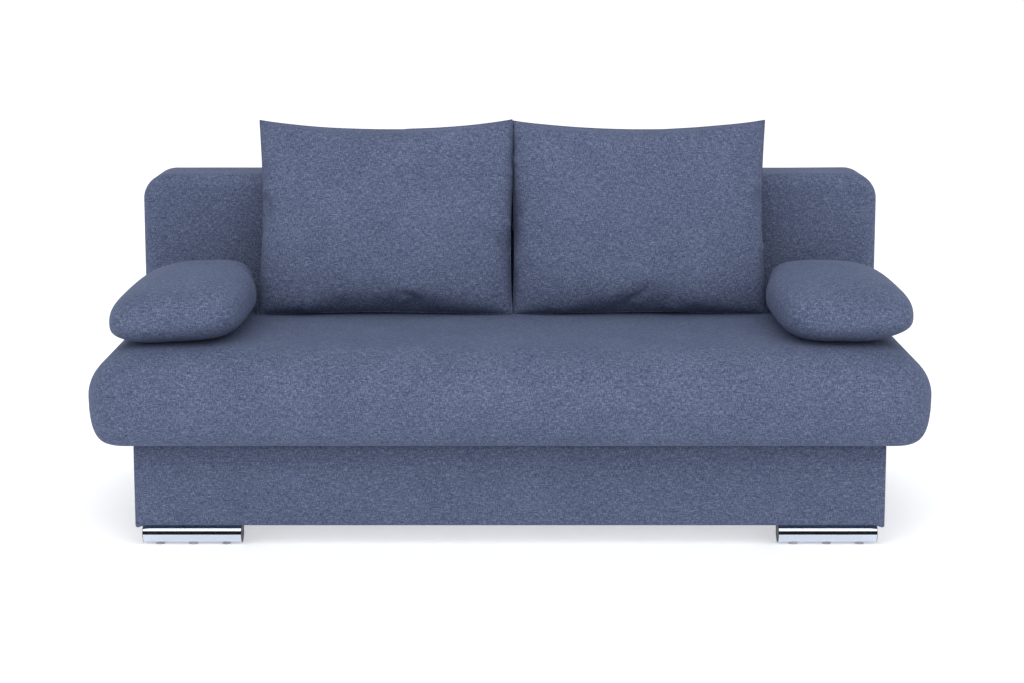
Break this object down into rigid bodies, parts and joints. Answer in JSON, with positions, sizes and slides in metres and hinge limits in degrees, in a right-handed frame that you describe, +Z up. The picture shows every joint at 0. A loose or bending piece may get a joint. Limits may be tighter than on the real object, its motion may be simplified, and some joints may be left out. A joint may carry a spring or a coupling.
{
  "type": "sofa bed",
  "caption": "Upholstered sofa bed with a bedding box, a pull-forward seat, a back that folds flat behind it, loose back and arm cushions, and chrome tube feet.",
  "frame": {"origin": "on the floor, at the middle of the width and of the depth", "axes": "+X along the width, towards the right seen from the front; -Y is the front; +Z up"},
  "size_m": [1.956, 0.91, 0.9461],
  "materials": {
    "upholstery": "fine two-tone woven melange cloth, matt",
    "foam": "cut polyurethane foam",
    "fibre_filling": "polyester fibre filling",
    "chipboard": "raw chipboard",
    "timber": "planed softwood",
    "chrome": "bright chrome plate",
    "black_plastic": "fine-grained moulded plastic",
    "zinc_steel": "bright zinc plate",
    "spring_steel": "oiled spring wire",
    "coated_steel": "black powder coat",
    "nylon": "natural nylon",
    "rubber": "soft rubber",
    "felt": "needled felt",
    "lining": "non-woven lining and elastic webbing"
  },
  "bodies": {
    "base": {"box_front_board": "chipboard", "box_rear_board": "chipboard", "box_end_boards": "chipboard", "box_corner_posts": "timber", "box_floor_ledges": "timber", "box_floor": "chipboard", "box_cover": "upholstery", "front_foot_tubes": "chrome", "front_foot_caps": "black_plastic", "foot_glides": "black_plastic", "front_foot_packers": "black_plastic", "foot_bolts": "zinc_steel", "foot_nuts": "zinc_steel", "rear_feet": "black_plastic", "lift_rest_pads": "rubber", "lift_hinge_fixed_leaves": "zinc_steel", "lift_hinge_pins": "zinc_steel"},
    "lift_frame": {"slide_channel_left": "coated_steel", "slide_channel_right": "coated_steel", "lift_cross_tubes": "coated_steel", "slide_stops": "rubber", "channel_glides": "nylon", "lift_hinge_moving_leaves": "zinc_steel"},
    "seat_carriage": {"seat_runners": "zinc_steel", "runner_glides": "nylon", "runner_spacers": "zinc_steel", "back_pivot_brackets": "zinc_steel", "back_pivot_pins": "zinc_steel", "seat_front_rail": "timber", "seat_rear_rail": "timber", "seat_end_rails": "timber", "seat_runner_rails": "timber", "seat_cross_rails": "timber", "seat_dust_cloth": "lining", "seat_springs": "spring_steel", "spring_clips": "zinc_steel", "seat_felt": "felt", "seat_foam": "foam", "seat_cover": "upholstery"},
    "backrest": {"back_stiles": "timber", "back_end_posts": "timber", "back_end_ties": "timber", "back_side_plates": "zinc_steel", "back_pivot_bushes": "nylon", "back_bottom_rail": "timber", "back_top_rail": "timber", "back_centre_post": "timber", "back_webbing": "lining", "back_rear_cloth": "lining", "back_foam": "foam", "back_cover": "upholstery"},
    "back_cushion_left": {"back_cushion_left_case": "upholstery", "back_cushion_left_filling": "fibre_filling"},
    "back_cushion_right": {"back_cushion_right_case": "upholstery", "back_cushion_right_filling": "fibre_filling"},
    "arm_cushion_left": {"arm_cushion_left_case": "upholstery", "arm_cushion_left_filling": "fibre_filling"},
    "arm_cushion_right": {"arm_cushion_right_case": "upholstery", "arm_cushion_right_filling": "fibre_filling"}
  },
  "joints": [
    {"name": "storage_lift", "type": "hinge", "parent": "base", "child": "lift_frame", "pos_m": [0, 0.441, 0.246], "axis": [-1, 0, 0], "range_deg": [0, 35]},
    {"name": "seat_slide", "type": "slide", "parent": "lift_frame", "child": "seat_carriage", "axis": [0, -1, 0], "range_m": [0, 0.4]},
    {"name": "back_fold", "type": "hinge", "parent": "seat_carriage", "child": "backrest", "pos_m": [0, 0.385, 0.366], "axis": [-1, 0, 0], "range_deg": [0, 90]},
    {"name": "back_cushion_left_lift", "type": "slide", "parent": "seat_carriage", "child": "back_cushion_left", "axis": [0, 0, 1], "range_m": [0, 0.4]},
    {"name": "back_cushion_right_lift", "type": "slide", "parent": "seat_carriage", "child": "back_cushion_right", "axis": [0, 0, 1], "range_m": [0, 0.4]},
    {"name": "arm_cushion_left_lift", "type": "slide", "parent": "seat_carriage", "child": "arm_cushion_left", "axis": [0, 0, 1], "range_m": [0, 0.4]},
    {"name": "arm_cushion_right_lift", "type": "slide", "parent": "seat_carriage", "child": "arm_cushion_right", "axis": [0, 0, 1], "range_m": [0, 0.4]}
  ],
  "couplings": [
    {"joint": "back_fold", "follows": "seat_slide", "rad_per_m": 3.9265}
  ]
}
